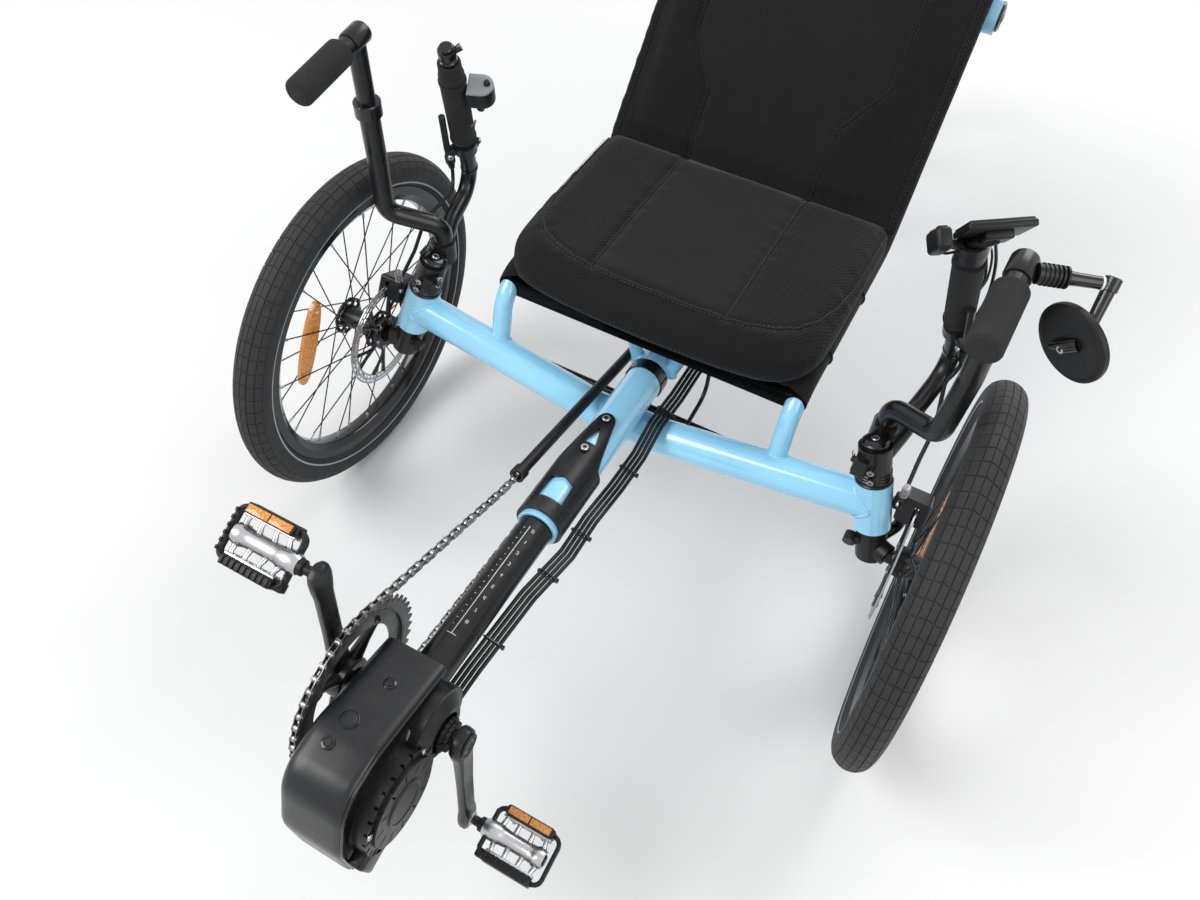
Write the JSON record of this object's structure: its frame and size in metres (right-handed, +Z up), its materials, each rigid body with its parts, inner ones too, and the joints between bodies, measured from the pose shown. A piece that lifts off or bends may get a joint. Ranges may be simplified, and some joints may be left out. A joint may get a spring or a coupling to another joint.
{
  "type": "recumbent tricycle",
  "caption": "Recumbent pedal trike with two steered front wheels, a driven rear wheel, a reclined padded seat, upright steering bars and an electric drive on a front boom.",
  "frame": {"origin": "on the ground under the middle of the trike's bounding box, on its middle plane", "axes": "+Z up, -Y towards the front (pedals), +X towards the rider's left"},
  "size_m": [0.9327, 1.8765, 0.8503],
  "materials": {
    "frame_paint": "gloss",
    "black_paint": "satin",
    "black_alloy": "satin",
    "silver_alloy": "satin",
    "steel": "satin",
    "tyre": "matte",
    "grip_foam": "matte",
    "motor_plastic": "satin",
    "black_plastic": "matte",
    "seat_fabric": "matte",
    "amber_lens": "gloss"
  },
  "bodies": {
    "frame": {"main_tube": "frame_paint", "cross_tube": "frame_paint", "seat_rails": "frame_paint", "seat_cross_bars": "frame_paint", "rear_stays": "frame_paint", "seat_struts": "frame_paint", "boom": "black_paint", "boom_clamp": "black_alloy", "motor": "black_alloy", "motor_cover": "motor_plastic", "battery": "black_plastic", "chain": "steel", "chain_tubes": "black_plastic", "idler": "black_alloy", "derailleur": "black_alloy", "seat_sling": "seat_fabric", "seat_pad": "seat_fabric", "back_pad": "seat_fabric", "drive_cables": "black_plastic", "seat_cable": "black_plastic"},
    "steering_left": {"knuckle_left": "black_alloy", "stem_left": "black_alloy", "caliper_left": "black_alloy", "steer_bar_left": "black_paint", "hand_grip_left": "grip_foam", "assist_bar_left": "black_paint", "assist_grip_left": "grip_foam", "brake_lever_left": "black_alloy", "brake_hose_left": "black_plastic", "mirror": "black_plastic", "display": "black_plastic"},
    "steering_right": {"knuckle_right": "black_alloy", "stem_right": "black_alloy", "caliper_right": "black_alloy", "steer_bar_right": "black_paint", "hand_grip_right": "grip_foam", "assist_bar_right": "black_paint", "assist_grip_right": "grip_foam", "brake_lever_right": "black_alloy", "brake_hose_right": "black_plastic", "shifter": "black_plastic", "bell": "black_plastic"},
    "steering_rod": {"tie_rod": "black_paint"},
    "wheel_left": {"tyre_left": "tyre", "rim_left": "black_alloy", "hub_left": "black_alloy", "spoke_reflector_left": "amber_lens"},
    "wheel_right": {"tyre_right": "tyre", "rim_right": "black_alloy", "hub_right": "black_alloy", "spoke_reflector_right": "amber_lens"},
    "wheel_rear": {"tyre_rear": "tyre", "rim_rear": "black_alloy", "hub_rear": "black_alloy"},
    "crankset": {"cranks": "black_alloy", "chainring": "steel"},
    "pedal_body_left": {"pedal_left": "silver_alloy"},
    "pedal_body_right": {"pedal_right": "silver_alloy"}
  },
  "joints": [
    {"name": "steer_left", "type": "hinge", "parent": "frame", "child": "steering_left", "pos_m": [0.331, -0.284, 0.314], "axis": [-0.2627, 0.1841, 0.9472], "range_deg": [-30, 30]},
    {"name": "steer_right", "type": "hinge", "parent": "frame", "child": "steering_right", "pos_m": [-0.331, -0.284, 0.314], "axis": [0.2627, 0.1841, 0.9472], "range_deg": [-30, 30]},
    {"name": "rod_pivot", "type": "hinge", "parent": "steering_left", "child": "steering_rod", "pos_m": [0.344, -0.239, 0.25], "axis": [-0.2627, 0.1841, 0.9472], "range_deg": [-30, 30]},
    {"name": "wheel_left_spin", "type": "hinge", "parent": "steering_left", "child": "wheel_left", "pos_m": [0.422, -0.305, 0.253], "axis": [1, 0, 0], "continuous": true},
    {"name": "wheel_right_spin", "type": "hinge", "parent": "steering_right", "child": "wheel_right", "pos_m": [-0.422, -0.305, 0.253], "axis": [1, 0, 0], "continuous": true},
    {"name": "wheel_rear_spin", "type": "hinge", "parent": "frame", "child": "wheel_rear", "pos_m": [0, 0.695, 0.253], "axis": [1, 0, 0], "continuous": true},
    {"name": "crank_spin", "type": "hinge", "parent": "frame", "child": "crankset", "pos_m": [0, -0.785, 0.348], "axis": [1, 0, 0], "continuous": true},
    {"name": "pedal_left_spin", "type": "hinge", "parent": "crankset", "child": "pedal_body_left", "pos_m": [0.084, -0.80081, 0.18376], "axis": [1, 0, 0], "continuous": true},
    {"name": "pedal_right_spin", "type": "hinge", "parent": "crankset", "child": "pedal_body_right", "pos_m": [-0.091, -0.76919, 0.51224], "axis": [1, 0, 0], "continuous": true}
  ],
  "couplings": [
    {"joint": "steer_right", "follows": "steer_left", "ratio": 1},
    {"joint": "rod_pivot", "follows": "steer_left", "ratio": -1}
  ]
}
